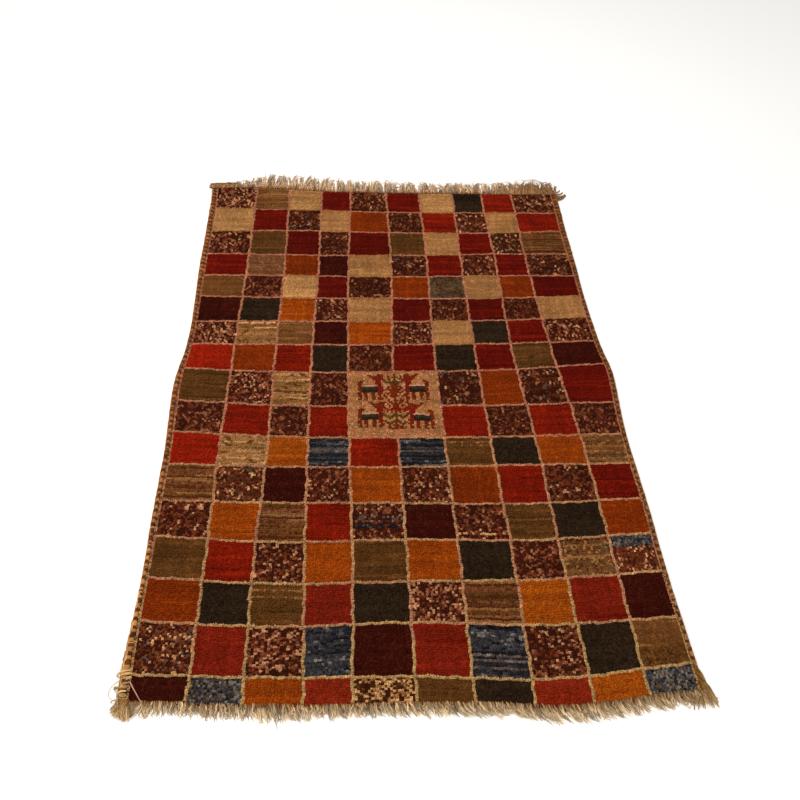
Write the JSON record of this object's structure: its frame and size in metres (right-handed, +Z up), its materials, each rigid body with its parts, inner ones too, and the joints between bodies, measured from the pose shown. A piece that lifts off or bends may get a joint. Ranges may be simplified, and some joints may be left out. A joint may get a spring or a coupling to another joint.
{
  "type": "gabbeh rug",
  "caption": "Flat knotted wool rug with a short pile of coloured squares in pale lines, bound side cords and a fringe at each end.",
  "frame": {"origin": "on the floor under the middle of the whole rug, fringes included", "axes": "+X across the rug, +Y along it from the near end to the far end of the picture, +Z up from the floor"},
  "size_m": [1.0666, 1.6756, 0.0107],
  "materials": {
    "pile_wool": "matte knotted wool pile in madder red, orange, olive, charcoal and camel squares",
    "selvedge_wool": "matte overcast wool, dark brown and camel by turns",
    "warp_wool": "matte undyed wool warp ends"
  },
  "bodies": {
    "root": {"pile_field": "pile_wool", "selvedge_left": "selvedge_wool", "selvedge_right": "selvedge_wool", "fringe_far": "warp_wool", "fringe_near": "warp_wool"}
  },
  "joints": []
}
